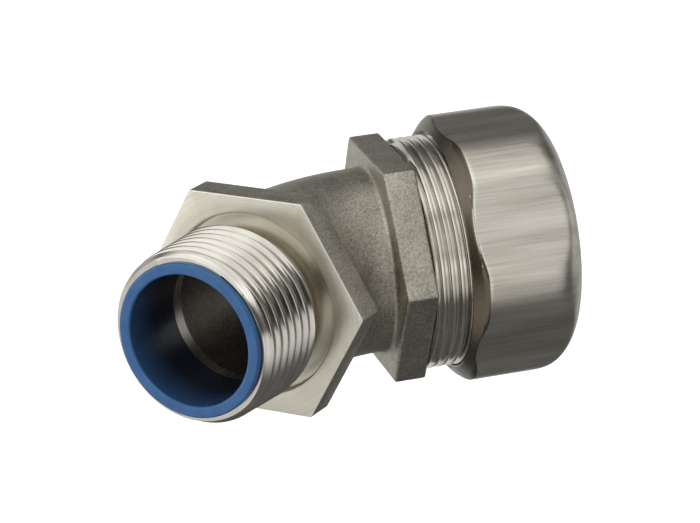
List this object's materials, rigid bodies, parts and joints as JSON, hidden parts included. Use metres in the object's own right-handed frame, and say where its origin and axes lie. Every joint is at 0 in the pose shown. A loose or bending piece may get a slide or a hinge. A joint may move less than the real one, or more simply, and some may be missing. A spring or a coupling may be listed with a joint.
{
  "type": "conduit compression fitting",
  "caption": "45 degree liquid-tight conduit fitting: taper pipe thread with insulated throat at one end, domed compression nut on a gland thread at the other.",
  "frame": {"origin": "centre of the hub hexagon's bearing face, on the pipe thread's axis", "axes": "-Z is the way the pipe thread points, into the box or enclosure; the gland end leaves the elbow halfway between +X and +Z"},
  "size_m": [0.0575, 0.0394, 0.0729],
  "materials": {
    "cast_steel": "investment cast and blasted, with machined threads and bearing face",
    "throat_plastic": "satin moulded blue plastic",
    "nut_steel": "brushed along its axis, satin",
    "washer_steel": "rolled sheet steel",
    "ring_plastic": "natural white moulded nylon",
    "ferrule_steel": "turned, satin"
  },
  "bodies": {
    "fitting": {"body": "cast_steel", "insulated_throat": "throat_plastic"},
    "pressure_set": {"slip_washer": "washer_steel", "sealing_ring": "ring_plastic"},
    "nut": {"gland_nut": "nut_steel"},
    "conduit_ferrule": {"ferrule": "ferrule_steel"}
  },
  "joints": [
    {"name": "nut_travel", "type": "slide", "parent": "fitting", "child": "pressure_set", "axis": [0.7071, 0, 0.7071], "range_m": [-0.00318, 0.00745]},
    {"name": "nut_turn", "type": "hinge", "parent": "pressure_set", "child": "nut", "pos_m": [0, 0, 0.0171], "axis": [0.7071, 0, 0.7071], "range_deg": [-810, 1890]},
    {"name": "ferrule_turn", "type": "hinge", "parent": "fitting", "child": "conduit_ferrule", "pos_m": [0, 0, 0.0171], "axis": [0.7071, 0, 0.7071], "continuous": true}
  ],
  "couplings": [
    {"joint": "nut_travel", "follows": "nut_turn", "m_per_rad": 0.00022459}
  ]
}
